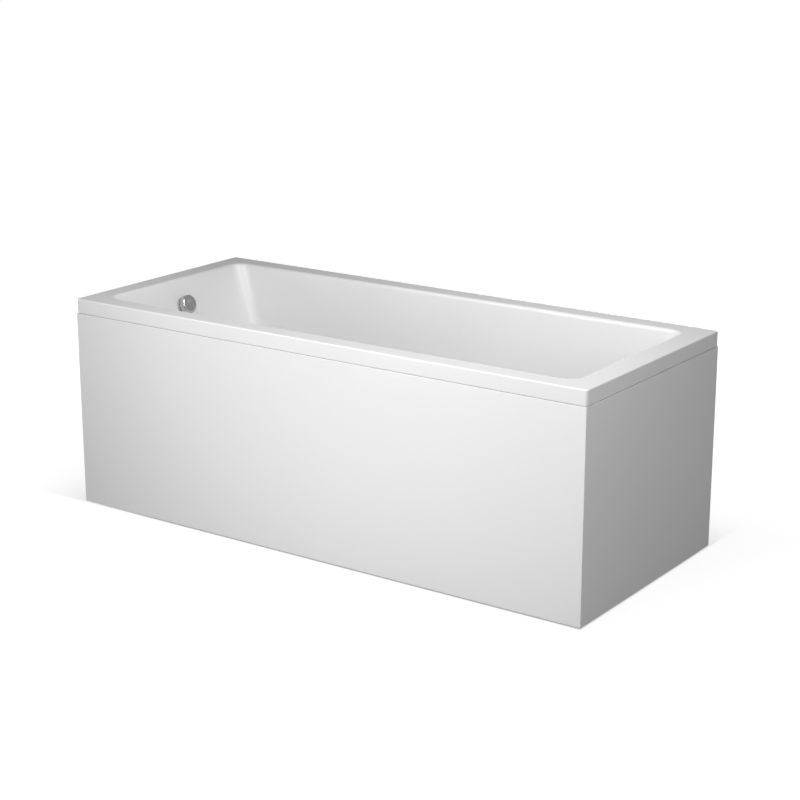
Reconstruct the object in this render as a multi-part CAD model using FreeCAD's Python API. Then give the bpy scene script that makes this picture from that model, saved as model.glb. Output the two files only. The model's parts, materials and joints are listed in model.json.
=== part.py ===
import FreeCAD, Part
import math
import os

# Acrylic bath with a front panel and a right-hand end panel, in millimetres.
# X runs along the bath: -X is the foot end with overflow and waste, +X the head end.
# -Y is the panelled front, +Y the wall side. Z = 0 is the finished floor.

Vector = FreeCAD.Vector
Placement = FreeCAD.Placement
Rotation = FreeCAD.Rotation

UP = Vector(0, 0, 1)
DOWN = Vector(0, 0, -1)
ALONG = Vector(1, 0, 0)
ACROSS = Vector(0, 1, 0)

# Distance under which two places count as one
same_place = 1e-4

# Overall sizes
bath_length = 1650.0
bath_width = 700.0
rim_height = 605.0
well_depth = 400.0

# Acrylic shell and its rim
acrylic_wall = 4.5
rim_skirt = 40.0
rim_corner_radius = 9.0
rim_edge_radius = 3.5
rim_side_width = 63.0
rim_foot_width = 63.0
rim_head_width = 68.5
lip_radius = 10.0

# Well: wall slopes from the vertical in degrees, and the radii at the floor
side_slope = 3.5
foot_slope = 20.0
head_slope = 32.0
side_radius = 36.0
foot_radius = 70.0
head_radius = 140.0

# Glass-fibre backing, base board and rim battens
grp_wall = 3.5
bond_gap = 0.2
grp_top_gap = 12.0
board_thickness = 16.0
board_side_gap = 62.5
board_waste_gap = 80.0
board_head_gap = 25.0
batten_thickness = 18.0
batten_width = 34.0
batten_gap = 2.0

# Fasteners
fit_gap = 0.1
screw_radius = 2.1
screw_head_radius = 4.2
screw_head_height = 2.2
screw_length = 11.0

# Legs
rail_width = 40.0
rail_height = 25.0
rail_wall = 2.0
rail_inset = 60.0
rail_overhang = 34.0
rail_screw_inset = 40.0
leg_gap = 8.0
rod_radius = 6.0
rod_reserve = 34.0
rod_hex_flats = 19.0
rod_hex_height = 9.0
nut_height = 10.0
nut_flats = 19.0
pad_radius = 30.0
pad_sole = 6.0
pad_hub_radius = 12.5
pad_height = 30.0
pad_floor = 9.0
pad_ribs = 8
pad_rib_wall = 3.0
pad_edge_radius = 2.0
pad_rib_root = 1.0

# Panels, their stiffener boards and what holds them
panel_wall = 4.0
panel_reveal = 2.0
panel_floor_gap = 3.0
panel_return = 24.0
panel_edge_radius = 2.0
mitre_gap = 0.2
tongue_gap = 0.7
tongue_height = 28.0
stiffener_thickness = 12.0
stiffener_height = 80.0
stiffener_end_gap = 6.0
stiffener_top_gap = 20.0
stiffener_drop = 10.0
stiffener_joint = 0.5
clip_depth = 6.8
clip_wall = 1.5
clip_fit = 0.3
clip_width = 26.0
clip_leg = 10.0
clip_end_margin = 160.0
front_clips = 4
end_clips = 2
bracket_wall = 2.0
bracket_leg = 45.0
bracket_lap = 20.0
bracket_low_hole = 15.0
bracket_high_hole = 34.0
stay_width = 25.0
stay_wall = 3.0
stay_nut_gap = 16.0
corner_leg = 30.0
corner_height = 60.0
corner_hole_along = 20.0
corner_hole_rise = 15.0

# Wall brackets under the rear rim
wall_bracket_width = 44.0
wall_bracket_thickness = 3.0
wall_bracket_inset = 375.0
wall_bracket_drop = 52.0
wall_bracket_foot = 30.0
wall_bracket_screw_depth = 22.0
wall_hole_radius = 2.75
wall_hole_spacing = 24.0
wall_hole_rise = 14.0

# Overflow: heights along its axis count from the inner face of the foot wall
overflow_depth = 76.0
overflow_hole_radius = 23.0
gasket_thickness = 1.0
clamp_radius = 25.0
clamp_thickness = 2.4
clamp_bore = 15.5
clamp_arm = 5.0
clamp_screw_circle = 19.2
bearing_radius = 8.0
bearing_length = 10.0
spindle_radius = 5.0
running_gap = 0.06
knob_radius = 27.6
knob_gap = 8.5
knob_reach = 29.5
knob_wall = 2.5
knob_edge_radius = 2.4
knob_dish = 0.7
knob_hub_radius = 8.5
knob_hub_depth = 9.0
seal_thickness = 3.0
overflow_flange_radius = 36.0
overflow_flange = 5.0
chamber_radius = 30.0
chamber_wall = 3.0
pivot_height = 6.0
crank_radius = 18.0
crank_thickness = 4.0
crank_pin_circle = 13.0
crank_pin_radius = 2.5
crank_pin_length = 7.0

# Hose, cable and union nuts
hose_radius = 19.0
hose_valley = 17.6
hose_bore = 15.5
hose_pitch = 7.0
hose_valley_width = 1.7
hose_crest_width = 1.7
hose_bend_radius = 60.0
hose_clearance = 1.5
spigot_reach = 54.0
union_radius = 26.0
union_length = 24.0
union_ribs = 16
union_rib_radius = 1.6
union_gap = 0.3
cable_radius = 2.5
cable_offset = 36.0
cable_gland_radius = 6.0
cable_gland_reach = 24.0
cable_insert = 10.0
cable_drop = 44.0
cable_bend_radius = 55.0
cable_end_radius = 32.0

# Waste: heights count from the floor of the recess round the hole
drain_inset = 85.0
recess_depth = 3.0
recess_radius = 38.0
recess_flare = 4.0
waste_hole_radius = 28.0
waste_flange_radius = 36.0
waste_flange_thickness = 2.2
seal_setback = 1.0
waste_seat_depth = 4.0
waste_seat_width = 4.0
waste_neck_wall = 2.0
waste_neck_depth = 26.0
waste_cross_height = 5.0
waste_cross_arm = 3.5
waste_cross_depth = 9.0
guide_wall = 3.0
guide_length = 15.0
lower_seal_radius = 40.0
body_flange = 5.0
cup_wall = 3.2
port_depth = 63.0
port_reach = 54.0
pipe_radius = 20.0
pipe_wall = 3.0
gland_length = 14.0
gland_radius = 7.0
stem_radius = 4.0
stem_length = 54.0
lift_pin_radius = 2.4
plug_clearance = 0.6
plug_seal_thickness = 3.0
plug_seal_bore = 12.0
plug_rise = 3.6
plug_crown = 1.2
seat_gap = 0.1

# Trap and outlet
trap_bend_radius = 30.0
trap_lead = 18.0
trap_leg = 42.0
trap_rise = 18.0
trap_tail = 15.0
outlet_wall_gap = 15.0
outlet_spigot = 3.0
outlet_step = 0.5

# Heights and places that follow from the sizes above
half_length = bath_length / 2
half_width = bath_width / 2
rim_under = rim_height - acrylic_wall
floor_z = rim_height - well_depth
shell_wall = acrylic_wall + bond_gap + grp_wall
board_top = floor_z - shell_wall
rail_top = board_top - board_thickness
skirt_low = rim_height - rim_skirt
panel_top = skirt_low - panel_reveal
tongue_outer = acrylic_wall + tongue_gap
tongue_inner = tongue_outer + panel_wall
batten_face = tongue_inner + clip_depth
stiffener_face = panel_wall + stiffener_thickness
stiffener_low = rail_top - stiffener_drop
stiffener_high = panel_top - panel_wall - stiffener_top_gap - stiffener_height
rod_top = rail_top + nut_height + rod_reserve
hose_axis = shell_wall + union_radius + hose_clearance
recess_z = floor_z - recess_depth
boss_bottom = recess_z - acrylic_wall
port_z = recess_z - port_depth


def tangent(degrees):
    return math.tan(math.radians(degrees))


def cosine(degrees):
    return math.cos(math.radians(degrees))


def foot_x(height, offset=0.0):
    """Place of the foot wall at a height, its surface moved outwards by offset."""
    inner = rim_foot_width - half_length + (rim_height - height) * tangent(foot_slope)
    return inner - offset / cosine(foot_slope)


def head_x(height, offset=0.0):
    inner = half_length - rim_head_width - (rim_height - height) * tangent(head_slope)
    return inner + offset / cosine(head_slope)


def side_y(height, offset=0.0):
    inner = half_width - rim_side_width - (rim_height - height) * tangent(side_slope)
    return inner + offset / cosine(side_slope)


# Flat floor between the foot and head curves, and what stands on its length
floor_start = foot_x(floor_z) + foot_radius * tangent((90 - foot_slope) / 2)
floor_end = head_x(floor_z) - head_radius * tangent((90 - head_slope) / 2)
drain_x = floor_start + drain_inset
board_start = drain_x + board_waste_gap
board_end = floor_end - board_head_gap
rail_places = [board_start + rail_inset, board_end - rail_inset]
leg_y = side_y(rod_top, shell_wall) + rod_radius + leg_gap
board_width = 2 * (side_y(floor_z) - board_side_gap)
stay_y = leg_y - nut_flats / 2 / cosine(30) - stay_nut_gap - stay_width / 2

# Overflow frame: local Z points out of the foot wall into the well, local X down the wall
overflow_z = rim_height - overflow_depth
overflow_frame = Placement(Vector(foot_x(overflow_z), 0, overflow_z), Rotation(ACROSS, 90 - foot_slope))

# Panel frames: local X along the panel, local Y inwards from its outer face
front_frame = Placement(Vector(0, -half_width, 0), Rotation())
end_frame = Placement(Vector(half_length, 0, 0), Rotation(UP, 90))


def box(low, high):
    size = high - low
    return Part.makeBox(size.x, size.y, size.z, low)


def rod(radius, start, end):
    return Part.makeCylinder(radius, (end - start).Length, start, end - start)


def tube(inner, outer, start, end):
    return rod(outer, start, end).cut(rod(inner, start, end))


def rounded_wire(points, radii, closed=False):
    """Straight runs through the points, with tangent arcs at the corners that have a radius."""
    count = len(points)
    reached = list(points)
    left = list(points)
    arcs = {}
    for index, radius in radii.items():
        corner = points[index]
        back = (points[index - 1] - corner).normalize()
        ahead = (points[(index + 1) % count] - corner).normalize()
        half_turn = (math.pi - back.getAngle(ahead)) / 2
        reached[index] = corner + back * radius * math.tan(half_turn)
        left[index] = corner + ahead * radius * math.tan(half_turn)
        middle = corner + (back + ahead).normalize() * radius * (1 / math.cos(half_turn) - 1)
        arcs[index] = Part.Arc(reached[index], middle, left[index]).toShape()
    edges = []
    for index in range(count if closed else count - 1):
        following = (index + 1) % count
        if not left[index].isEqual(reached[following], same_place):
            edges.append(Part.LineSegment(left[index], reached[following]).toShape())
        if following in arcs:
            edges.append(arcs[following])
    return Part.Wire(edges)


def prism(points, direction, radii=None):
    return Part.Face(rounded_wire(points, radii or {}, closed=True)).extrude(direction)


def turned(outline, radii=None):
    """Solid of revolution about Z from (radius, height) points."""
    points = [Vector(radius, 0, height) for radius, height in outline]
    return Part.Face(rounded_wire(points, radii or {}, closed=True)).revolve(Vector(), UP, 360)


def placed(shape, frame):
    return shape.transformed(frame.toMatrix(), copy=True)


def moved(shape, offset):
    return shape.translated(offset)


def edges_where(shape, test):
    return [edge for edge in shape.Edges if all(test(vertex.Point) for vertex in edge.Vertexes)]


def close(first, second):
    return abs(first - second) < same_place


def mirrored_pair(offset):
    return [-offset, offset]


# Fasteners: a seat is the point under the head and the direction that the shank goes


def screw(seat, direction):
    head = rod(screw_head_radius, seat - direction * screw_head_height, seat)
    shank = rod(screw_radius, seat, seat + direction * screw_length)
    return head.fuse(shank).removeSplitter()


def drilled(shape, seats):
    """Clearance holes for screws, through whatever lies under their heads."""
    for seat, direction in seats:
        start = seat - direction * fit_gap
        end = seat + direction * (screw_length + fit_gap)
        shape = shape.cut(rod(screw_radius + fit_gap, start, end))
    return shape


def screws(seats):
    return [screw(seat, direction) for seat, direction in seats]


def in_frame(seats, frame):
    return [(frame.multVec(seat), frame.Rotation.multVec(direction)) for seat, direction in seats]


def hexagon(flats, height, base):
    corner = flats / 2 / cosine(30)
    points = [base + Vector(corner * math.cos(turn * math.pi / 3), corner * math.sin(turn * math.pi / 3), 0)
              for turn in range(6)]
    return prism(points, UP * height)


# Shell


def well(offset, top):
    """Solid that fills the well, its walls and floor moved outwards by offset."""
    bottom = floor_z - offset
    long_outline = [(foot_x(top, offset), top), (foot_x(bottom, offset), bottom),
                    (head_x(bottom, offset), bottom), (head_x(top, offset), top)]
    lengthwise = prism([Vector(x, -half_width, z) for x, z in long_outline], ACROSS * bath_width,
                       {1: foot_radius + offset, 2: head_radius + offset})
    cross_outline = [(-side_y(top, offset), top), (-side_y(bottom, offset), bottom),
                     (side_y(bottom, offset), bottom), (side_y(top, offset), top)]
    crosswise = prism([Vector(-half_length, y, z) for y, z in cross_outline], ALONG * bath_length)
    solid = lengthwise.common(crosswise).Solids[0]
    mouth = [edge.hashCode() for edge in edges_where(solid, lambda point: close(point.z, top))]
    rounds = []
    for face in solid.Faces:
        if not close(face.normalAt(0, 0).y, 0):
            rounds += [edge for edge in face.Edges if edge.hashCode() not in mouth]
    return solid.makeFillet(side_radius + offset, rounds)


def rim_block(inset, top, corner_radius):
    low = Vector(inset - half_length, inset - half_width, skirt_low)
    high = Vector(half_length - inset, half_width - inset, top)
    block = box(low, high)
    upright = [edge for edge in block.Edges if not close(edge.Vertexes[0].Z, edge.Vertexes[-1].Z)]
    return block.makeFillet(corner_radius, upright)


def overflow_hole(radius):
    reach = UP * hose_axis
    return placed(rod(radius, Vector() - reach, reach), overflow_frame)


def tub_shell():
    outer = rim_block(0, rim_height, rim_corner_radius)
    outer = outer.makeFillet(rim_edge_radius, edges_where(outer, lambda point: close(point.z, rim_height)))
    hollow = rim_block(acrylic_wall, rim_under, rim_corner_radius - acrylic_wall)
    recess_rim = recess_radius + recess_flare
    boss = rod(recess_rim + acrylic_wall, Vector(drain_x, 0, boss_bottom), Vector(drain_x, 0, floor_z))
    shell = outer.cut(hollow).fuse([well(acrylic_wall, rim_under + acrylic_wall / 2), boss])
    shell = shell.cut(well(0, rim_height + acrylic_wall))
    recess = Part.makeCone(recess_radius, recess_rim, recess_depth, Vector(drain_x, 0, recess_z))
    hole = rod(waste_hole_radius, Vector(drain_x, 0, boss_bottom), Vector(drain_x, 0, floor_z))
    shell = shell.cut([recess, hole, overflow_hole(overflow_hole_radius)])

    def on_lip(point):
        inside_x = abs(point.x) < half_length - rim_foot_width / 2
        inside_y = abs(point.y) < half_width - rim_side_width / 2
        return inside_x and inside_y and close(point.z, rim_height)

    def under_lip(point):
        return close(point.z, rim_under) and abs(point.y) < side_y(rim_height, acrylic_wall) + acrylic_wall

    shell = shell.makeFillet(lip_radius, edges_where(shell, on_lip))
    return shell.makeFillet(lip_radius - acrylic_wall, edges_where(shell, under_lip))


def grp_backing():
    top = rim_under - grp_top_gap
    layer = well(shell_wall, top).cut(well(acrylic_wall + bond_gap, top + grp_top_gap))
    boss_radius = recess_radius + recess_flare + acrylic_wall + bond_gap
    waste_clear = rod(boss_radius, Vector(drain_x, 0, board_top - shell_wall), Vector(drain_x, 0, floor_z))
    return layer.cut([waste_clear, overflow_hole(overflow_flange_radius + fit_gap)])


def base_board():
    low = Vector(board_start, -board_width / 2, rail_top)
    return drilled(box(low, Vector(board_end, board_width / 2, board_top)), rail_seats())


def rim_battens():
    """Front, rear, foot and head batten under the rim; the panelled sides leave room for the clips."""
    low_z = rim_under - batten_thickness
    open_edge = acrylic_wall + batten_gap
    left = open_edge - half_length
    right = half_length - batten_face
    front = batten_face - half_width
    rear = half_width - open_edge
    spans = {
        "rim_batten_front": (left, right, front, front + batten_width),
        "rim_batten_rear": (left, right, rear - batten_width, rear),
        "rim_batten_foot": (left, left + batten_width, front + batten_width, rear - batten_width),
        "rim_batten_head": (right - batten_width, right, front + batten_width, rear - batten_width),
    }
    battens = {}
    for name, (x_low, x_high, y_low, y_high) in spans.items():
        batten = box(Vector(x_low, y_low, low_z), Vector(x_high, y_high, rim_under))
        battens[name] = drilled(batten, front_clip_seats() + end_clip_seats() + wall_bracket_seats())
    return battens


# Legs


def rail_seats():
    seats = []
    for x in rail_places:
        for y in mirrored_pair(board_width / 2 - rail_screw_inset) + mirrored_pair(rail_screw_inset):
            seats.append((Vector(x, y, rail_top - rail_wall), UP))
    return seats


def leg_rail(x):
    half = leg_y + rail_overhang
    low = Vector(x - rail_width / 2, -half, rail_top - rail_height)
    high = Vector(x + rail_width / 2, half, rail_top)
    inside = Vector(rail_wall, 0, 0)
    rail = box(low, high).cut(box(low + inside, high - inside - UP * rail_wall))
    for y in mirrored_pair(leg_y):
        rail = rail.cut(rod(rod_radius + fit_gap, Vector(x, y, rail_top - rail_wall), Vector(x, y, rail_top)))
    return drilled(rail, rail_seats() + bracket_seats() + stay_seats())


def leg_places():
    return [(x, y) for x in rail_places for y in mirrored_pair(leg_y)]


def lock_nuts(base_z):
    nuts = []
    for x, y in leg_places():
        base = Vector(x, y, base_z)
        hole = rod(rod_radius + fit_gap, base, base + UP * nut_height)
        nuts.append(hexagon(nut_flats, nut_height, base).cut(hole))
    return nuts


def leg_rod(x, y):
    spanner_hex = hexagon(rod_hex_flats, rod_hex_height, Vector(x, y, pad_height))
    return rod(rod_radius, Vector(x, y, pad_floor), Vector(x, y, rod_top)).fuse(spanner_hex).removeSplitter()


def foot_pad(x, y):
    """Ribbed foot: a round sole, a hub that takes the rod, and radial ribs between them."""
    bore = rod_radius + fit_gap
    outline = [(0, 0), (pad_radius, 0), (pad_radius, pad_sole), (pad_hub_radius, pad_sole),
               (pad_hub_radius, pad_height), (bore, pad_height), (bore, pad_floor), (0, pad_floor)]
    pad = turned(outline, {2: pad_edge_radius})
    root = bore + pad_rib_root
    tip = pad_radius - pad_edge_radius
    rib_outline = [(root, pad_sole / 2), (tip, pad_sole / 2), (tip, pad_sole),
                   (pad_hub_radius, pad_height - pad_sole), (root, pad_height - pad_sole)]
    rib = prism([Vector(radius, -pad_rib_wall / 2, height) for radius, height in rib_outline],
                ACROSS * pad_rib_wall)
    ribs = [rib.rotated(Vector(), UP, turn * 360 / pad_ribs) for turn in range(pad_ribs)]
    return moved(pad.fuse(ribs).removeSplitter(), Vector(x, y, 0))


# Panels


def panel_skin(length, corner):
    """Bent acrylic panel in its own frame, mitred at the end that corner points to."""
    outline = [(panel_return, panel_floor_gap), (0, panel_floor_gap), (0, panel_top),
               (tongue_outer, panel_top), (tongue_outer, panel_top + tongue_height),
               (tongue_inner, panel_top + tongue_height),
               (tongue_inner, panel_top - panel_wall), (panel_wall, panel_top - panel_wall),
               (panel_wall, panel_floor_gap + panel_wall), (panel_return, panel_floor_gap + panel_wall)]
    points = [Vector(-length / 2, inward, height) for inward, height in outline]
    skin = prism(points, ALONG * length, {1: panel_edge_radius, 2: panel_edge_radius})
    free_end = -corner * length / 2
    end_low = min(free_end, free_end + corner * panel_wall)
    return_plate = box(Vector(end_low, panel_edge_radius, panel_floor_gap),
                       Vector(end_low + panel_wall, panel_return, panel_top))
    room_low = min(free_end, free_end + corner * tongue_outer)
    skirt_room = box(Vector(room_low, 0, panel_top),
                     Vector(room_low + tongue_outer, panel_return, panel_top + tongue_height))
    skin = skin.fuse(return_plate).removeSplitter().cut([skirt_room] + tongue_corners(length))
    free_edge = edges_where(skin, lambda point: close(point.x, free_end) and close(point.y, 0))
    skin = skin.makeFillet(panel_edge_radius, free_edge)
    reach = 2 * panel_return
    mitre = [Vector(corner * (length / 2 - mitre_gap + reach), -reach, 0),
             Vector(corner * (length / 2 - mitre_gap - reach), reach, 0),
             Vector(corner * (length / 2 + reach), reach, 0)]
    skin = skin.cut(prism(mitre, UP * rim_height))
    tip = Vector(corner * (length / 2 - panel_edge_radius), panel_edge_radius, 0)
    low_x = min(tip.x, corner * length / 2)
    square = box(Vector(low_x, 0, 0), Vector(low_x + panel_edge_radius, panel_edge_radius, rim_height))
    return skin.cut(square.cut(rod(panel_edge_radius, tip, tip + UP * rim_height)))


def tongue_corners(length):
    """Room for the skirt's rounded corners, cut out of both ends of a panel's tongue."""
    room = rim_corner_radius + tongue_gap
    low_z = skirt_low - fit_gap
    size = Vector(room, panel_return, panel_top + tongue_height - low_z)
    corners = [Vector(low_x, 0, low_z) for low_x in (-length / 2, length / 2 - room)]
    return [box(low, low + size) for low in corners]


def stiffeners(length, corner, corner_gap, seats):
    """Two boards glued behind a panel, in the panel's frame."""
    free_end = -corner * (length / 2 - panel_wall - stiffener_end_gap)
    joint_end = corner * (length / 2 - corner_gap)
    boards = []
    for low_z in (stiffener_low, stiffener_high):
        low = Vector(min(free_end, joint_end), panel_wall, low_z)
        high = Vector(max(free_end, joint_end), stiffener_face, low_z + stiffener_height)
        boards.append(drilled(box(low, high), seats))
    return boards


def clip_places(length, count):
    step = (length - 2 * clip_end_margin) / (count - 1)
    return [clip_end_margin - length / 2 + index * step for index in range(count)]


def clip_low():
    return rim_under - batten_thickness


def clip_seats(length, count):
    height = (clip_low() + rim_under) / 2 + clip_wall
    return [(Vector(x, batten_face - clip_wall, height), ACROSS) for x in clip_places(length, count)]


def front_clip_seats():
    return in_frame(clip_seats(bath_length, front_clips), front_frame)


def end_clip_seats():
    return in_frame(clip_seats(bath_width, end_clips), end_frame)


def clips(length, count):
    """Bent spring clips on the batten; each leg presses the panel's tongue against the skirt."""
    leg_outer = tongue_inner + clip_fit
    low = clip_low()
    outline = [(leg_outer, low), (batten_face, low), (batten_face, rim_under - clip_wall),
               (batten_face - clip_wall, rim_under - clip_wall), (batten_face - clip_wall, low + clip_wall),
               (leg_outer + clip_wall, low + clip_wall), (leg_outer + clip_wall, low + clip_leg),
               (leg_outer, low + clip_leg)]
    made = []
    for x in clip_places(length, count):
        points = [Vector(x - clip_width / 2, inward, height) for inward, height in outline]
        made.append(drilled(prism(points, ALONG * clip_width), clip_seats(length, count)))
    return made


def panel_clips():
    front = [placed(clip, front_frame) for clip in clips(bath_length, front_clips)]
    return front + [placed(clip, end_frame) for clip in clips(bath_width, end_clips)]


def angle_outline(low, high, wall, leg):
    """Angle from a run of length low to high, turned up at low; (inward, height) points."""
    return [(low, rail_top), (high, rail_top), (high, rail_top + wall), (low + wall, rail_top + wall),
            (low + wall, rail_top + leg), (low, rail_top + leg)]


def upright_seats(places, face):
    """Two screws in each upright leg, driven outwards into the stiffener board."""
    seats = []
    for x in places:
        for rise in (bracket_low_hole, bracket_high_hole):
            seats.append((Vector(x, face, rail_top + rise), ACROSS * -1))
    return seats


def bracket_upright_seats():
    return upright_seats(rail_places, stiffener_face + bracket_wall)


def stay_upright_seats():
    return upright_seats(mirrored_pair(stay_y), stiffener_face + stay_wall)


def rail_end():
    """Distance from the front of the bath to the end of the leg rails."""
    return half_width - leg_y - rail_overhang


def bracket_seats():
    depth = rail_end() + bracket_lap / 2
    return in_frame([(Vector(x, depth, rail_top + bracket_wall), DOWN) for x in rail_places], front_frame)


def panel_brackets():
    """Angles from the ends of the leg rails to the front panel's lower board."""
    outline = angle_outline(stiffener_face, rail_end() + bracket_lap, bracket_wall, bracket_leg)
    brackets = []
    for x in rail_places:
        points = [Vector(x - rail_width / 2, inward, height) for inward, height in outline]
        bracket = drilled(prism(points, ALONG * rail_width), bracket_upright_seats())
        brackets.append(drilled(placed(bracket, front_frame), bracket_seats()))
    return brackets


def stay_reach():
    """Distance from the end of the bath to the middle of the head rail."""
    return half_length - rail_places[1]


def stay_seats():
    seats = [(Vector(y, stay_reach(), rail_top + stay_wall), DOWN) for y in mirrored_pair(stay_y)]
    return in_frame(seats, end_frame)


def end_panel_stays():
    """Flat bars from the head rail to the end panel's lower board, turned up at the panel."""
    outline = angle_outline(stiffener_face, stay_reach() + rail_width / 2, stay_wall, bracket_leg)
    stays = []
    for y in mirrored_pair(stay_y):
        points = [Vector(y - stay_width / 2, inward, height) for inward, height in outline]
        stay = drilled(prism(points, ALONG * stay_width), stay_upright_seats())
        stays.append(drilled(placed(stay, end_frame), stay_seats()))
    return stays


def corner_seats():
    """Screws of the corner brackets: into the front boards, then into the end boards."""
    front, end = [], []
    inner_x = half_length - stiffener_face
    inner_y = stiffener_face - half_width
    for low_z in (stiffener_low, stiffener_high):
        for rise in mirrored_pair(corner_hole_rise):
            height = low_z + stiffener_height / 2 + rise
            front.append((Vector(inner_x - corner_hole_along, inner_y + bracket_wall, height), ACROSS * -1))
            end.append((Vector(inner_x - bracket_wall, inner_y + corner_hole_along, height), ALONG))
    return front, end


def corner_brackets():
    front, end = corner_seats()
    inner_x = half_length - stiffener_face
    inner_y = stiffener_face - half_width
    brackets = []
    for low_z in (stiffener_low, stiffener_high):
        base = Vector(inner_x, inner_y, low_z + (stiffener_height - corner_height) / 2)
        plan = [(0, 0), (0, corner_leg), (-bracket_wall, corner_leg), (-bracket_wall, bracket_wall),
                (-corner_leg, bracket_wall), (-corner_leg, 0)]
        bracket = prism([base + Vector(x, y, 0) for x, y in plan], UP * corner_height)
        brackets.append(drilled(bracket, front + end))
    return brackets


def front_stiffeners():
    boards = stiffeners(bath_length, 1, stiffener_face + stiffener_joint, bracket_upright_seats())
    return [drilled(placed(board, front_frame), corner_seats()[0]) for board in boards]


def end_stiffeners():
    boards = stiffeners(bath_width, -1, panel_wall + stiffener_joint, stay_upright_seats())
    return [drilled(placed(board, end_frame), corner_seats()[1]) for board in boards]


# Wall brackets


def wall_bracket_seats():
    seats = []
    depth = half_width - acrylic_wall - batten_gap - wall_bracket_screw_depth
    for x in mirrored_pair(half_length - wall_bracket_inset):
        for side in mirrored_pair(wall_hole_spacing / 2):
            seats.append((Vector(x + side, depth, clip_low() - wall_bracket_thickness), UP))
    return seats


def wall_brackets():
    """Joggled straps that hang from the rear batten, pass under the skirt and screw to the wall."""
    wall = wall_bracket_thickness
    inner = half_width - acrylic_wall - batten_gap
    step = skirt_low - panel_reveal
    outline = [(inner - wall_bracket_foot, clip_low()), (inner - wall_bracket_foot, clip_low() - wall),
               (inner - wall, clip_low() - wall), (inner - wall, step - wall),
               (half_width - wall, step - wall), (half_width - wall, step - wall_bracket_drop),
               (half_width, step - wall_bracket_drop), (half_width, step), (inner, step), (inner, clip_low())]
    hole_z = step - wall_bracket_drop + wall_hole_rise
    straps = []
    for x in mirrored_pair(half_length - wall_bracket_inset):
        points = [Vector(x - wall_bracket_width / 2, depth, height) for depth, height in outline]
        strap = drilled(prism(points, ALONG * wall_bracket_width), wall_bracket_seats())
        for side in mirrored_pair(wall_hole_spacing / 2):
            front = Vector(x + side, half_width - wall, hole_z)
            strap = strap.cut(rod(wall_hole_radius, front, front + ACROSS * wall))
        straps.append(strap)
    return straps


# Overflow, in its own frame


def clamp_screw_places():
    return [Vector(0, y, 0) for y in mirrored_pair(clamp_screw_circle)]


def clamp_seats():
    seat_height = gasket_thickness + clamp_thickness
    return [(place + UP * seat_height, DOWN) for place in clamp_screw_places()]


def overflow_gasket():
    ring = tube(overflow_hole_radius + fit_gap, clamp_radius, Vector(), UP * gasket_thickness)
    return placed(ring, overflow_frame)


def overflow_clamp():
    """Ring that clamps the overflow body to the wall; three arms carry the spindle bearing."""
    low = UP * gasket_thickness
    high = UP * (gasket_thickness + clamp_thickness)
    ring = tube(clamp_bore, clamp_radius, low, high)
    hub = rod(bearing_radius, high - UP * bearing_length, high)
    arms = []
    for turn in range(3):
        arm = box(Vector(0, -clamp_arm / 2, low.z), Vector(clamp_bore + fit_gap, clamp_arm / 2, high.z))
        arms.append(arm.rotated(Vector(), UP, turn * 120))
    bore = rod(spindle_radius + running_gap, high - UP * bearing_length, high)
    return placed(drilled(ring.fuse([hub] + arms).cut(bore), clamp_seats()), overflow_frame)


def chamber_depth():
    return hose_axis + hose_radius + chamber_wall


def overflow_body():
    """Moulded elbow behind the wall: sleeve, flange, round chamber, hose spigot and cable gland."""
    flange_top = -acrylic_wall - seal_thickness
    flange_low = flange_top - overflow_flange
    low = -chamber_depth()
    inner = chamber_radius - chamber_wall
    outline = [(clamp_bore, -fit_gap), (overflow_hole_radius - fit_gap, -fit_gap),
               (overflow_hole_radius - fit_gap, flange_top), (overflow_flange_radius, flange_top),
               (overflow_flange_radius, flange_low), (chamber_radius, flange_low), (chamber_radius, low),
               (0, low), (0, low + chamber_wall), (inner, low + chamber_wall), (inner, flange_low),
               (clamp_bore, flange_low)]
    body = turned(outline)
    axis = DOWN * hose_axis
    body = body.fuse(rod(hose_radius, axis, axis + ALONG * spigot_reach))
    gland = axis + ACROSS * cable_offset
    boss = rod(cable_gland_radius, gland - ALONG * cable_gland_radius, gland + ALONG * cable_gland_reach)
    bridge = box(Vector(-cable_gland_radius, inner, axis.z - cable_gland_radius),
                 Vector(cable_gland_radius, cable_offset, axis.z + cable_gland_radius))
    pivot_low = UP * (low + chamber_wall)
    pivot_high = pivot_low + UP * pivot_height
    pivot = rod(bearing_radius, UP * low, pivot_high)
    hollow = rod(inner, pivot_low, UP * flange_low)
    body = body.fuse([boss, bridge]).cut(hollow).fuse(pivot)
    body = body.cut([rod(hose_bore, axis, axis + ALONG * spigot_reach),
                     rod(spindle_radius + running_gap, pivot_low, pivot_high),
                     rod(cable_radius + fit_gap, gland + ALONG * (cable_gland_reach - cable_insert),
                         gland + ALONG * cable_gland_reach)])
    return placed(drilled(body, clamp_seats()).removeSplitter(), overflow_frame)


def overflow_seal():
    low = DOWN * (acrylic_wall + seal_thickness)
    ring = tube(overflow_hole_radius, overflow_flange_radius, low, low + UP * seal_thickness)
    return placed(ring, overflow_frame)


def spindle():
    """Shaft from the knob to the far end of the chamber, with the crank that pulls the cable."""
    low = -chamber_depth() + chamber_wall + fit_gap
    high = knob_reach - knob_wall - fit_gap
    crank_low = -hose_axis + crank_pin_length
    shaft = rod(spindle_radius, UP * low, UP * high)
    crank = rod(crank_radius, UP * crank_low, UP * (crank_low + crank_thickness))
    pin_base = Vector(0, crank_pin_circle, crank_low)
    pin = rod(crank_pin_radius, pin_base - UP * crank_pin_length, pin_base)
    return placed(shaft.fuse([crank, pin]).removeSplitter(), overflow_frame)


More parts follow.
